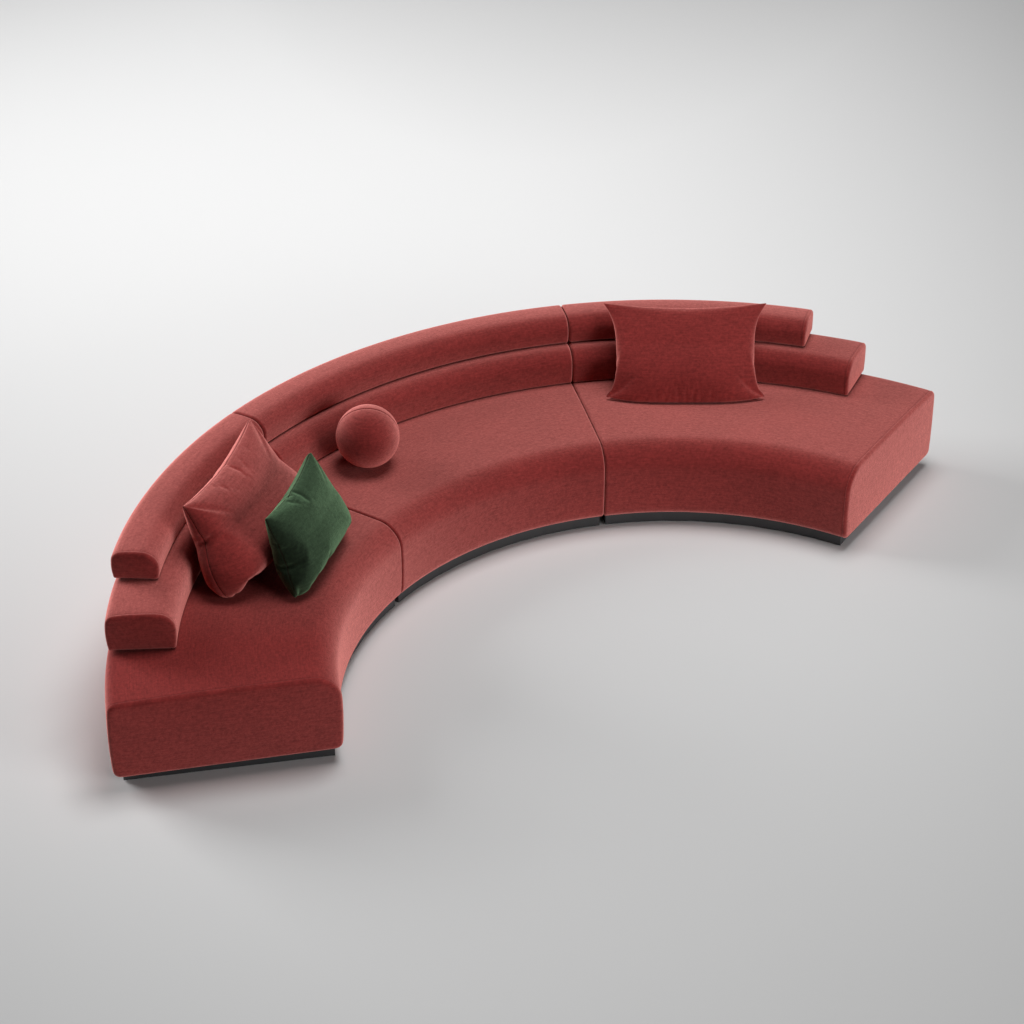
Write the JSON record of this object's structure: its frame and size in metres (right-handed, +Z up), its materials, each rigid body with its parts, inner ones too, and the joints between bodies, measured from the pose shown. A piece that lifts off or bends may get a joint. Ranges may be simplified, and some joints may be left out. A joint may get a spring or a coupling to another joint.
{
  "type": "curved sectional sofa",
  "caption": "Curved velvet sectional sofa: seat modules side by side on an arc, each with a stepped roll back and recessed plinth, and loose cushions.",
  "frame": {"origin": "on the floor, under the middle of the whole sofa's box", "axes": "+X along the sofa's length to the sitter's left, +Y to the back, +Z up"},
  "size_m": [4.4344, 1.8418, 0.8403],
  "materials": {
    "red_velvet": "brushed pile velvet",
    "green_velvet": "brushed pile velvet",
    "red_zip": "woven tape and coil",
    "green_zip": "woven tape and coil",
    "plinth_lacquer": "satin dark lacquer",
    "felt": "pressed felt",
    "timber": "planed",
    "webbing": "woven elastic strap",
    "foam": "open cell",
    "filling": "loose fill in a cotton case",
    "dust_cloth": "thin non-woven",
    "zinc_steel": "zinc plated"
  },
  "bodies": {
    "left_module": {"left_plinth": "plinth_lacquer", "left_front_glide": "felt", "left_rear_glide": "felt", "left_seat_frame": "timber", "left_seat_webbing": "webbing", "left_seat_foam": "foam", "left_seat_cover": "red_velvet", "left_dust_cloth": "dust_cloth", "left_lower_roll_core": "timber", "left_lower_roll_foam": "foam", "left_lower_roll_cover": "red_velvet", "left_upper_roll_core": "timber", "left_upper_roll_foam": "foam", "left_upper_roll_cover": "red_velvet", "left_back_bracket": "zinc_steel", "left_clip_tongue": "zinc_steel"},
    "centre_module": {"centre_plinth": "plinth_lacquer", "centre_front_glide": "felt", "centre_rear_glide": "felt", "centre_seat_frame": "timber", "centre_seat_webbing": "webbing", "centre_seat_foam": "foam", "centre_seat_cover": "red_velvet", "centre_dust_cloth": "dust_cloth", "centre_lower_roll_core": "timber", "centre_lower_roll_foam": "foam", "centre_lower_roll_cover": "red_velvet", "centre_upper_roll_core": "timber", "centre_upper_roll_foam": "foam", "centre_upper_roll_cover": "red_velvet", "centre_back_bracket": "zinc_steel", "left_clip_jaw": "zinc_steel", "right_clip_jaw": "zinc_steel"},
    "right_module": {"right_plinth": "plinth_lacquer", "right_front_glide": "felt", "right_rear_glide": "felt", "right_seat_frame": "timber", "right_seat_webbing": "webbing", "right_seat_foam": "foam", "right_seat_cover": "red_velvet", "right_dust_cloth": "dust_cloth", "right_lower_roll_core": "timber", "right_lower_roll_foam": "foam", "right_lower_roll_cover": "red_velvet", "right_upper_roll_core": "timber", "right_upper_roll_foam": "foam", "right_upper_roll_cover": "red_velvet", "right_back_bracket": "zinc_steel", "right_clip_tongue": "zinc_steel"},
    "left_cushion": {"left_cushion_cover": "red_velvet", "left_cushion_pad": "filling", "left_cushion_zip": "red_zip"},
    "green_cushion": {"green_cushion_cover": "green_velvet", "green_cushion_pad": "filling", "green_cushion_zip": "green_zip"},
    "right_cushion": {"right_cushion_cover": "red_velvet", "right_cushion_pad": "filling", "right_cushion_zip": "red_zip"},
    "ball_cushion": {"ball_cushion_cover": "red_velvet", "ball_cushion_pad": "filling"}
  },
  "joints": [
    {"name": "left_module_slide", "type": "slide", "parent": "centre_module", "child": "left_module", "axis": [-0.9239, -0.3827, 0], "range_m": [0, 0.3]},
    {"name": "right_module_slide", "type": "slide", "parent": "centre_module", "child": "right_module", "axis": [0.9239, -0.3827, 0], "range_m": [0, 0.3]},
    {"name": "left_cushion_lift", "type": "slide", "parent": "left_module", "child": "left_cushion", "axis": [-0.1727, 0.2148, 0.9613], "range_m": [0, 0.3]},
    {"name": "green_cushion_lift", "type": "slide", "parent": "left_module", "child": "green_cushion", "axis": [0, 0, 1], "range_m": [0, 0.3]},
    {"name": "ball_cushion_lift", "type": "slide", "parent": "centre_module", "child": "ball_cushion", "axis": [0, 0, 1], "range_m": [0, 0.3]},
    {"name": "right_cushion_lift", "type": "slide", "parent": "right_module", "child": "right_cushion", "axis": [0.2327, 0.3336, 0.9135], "range_m": [0, 0.3]}
  ]
}
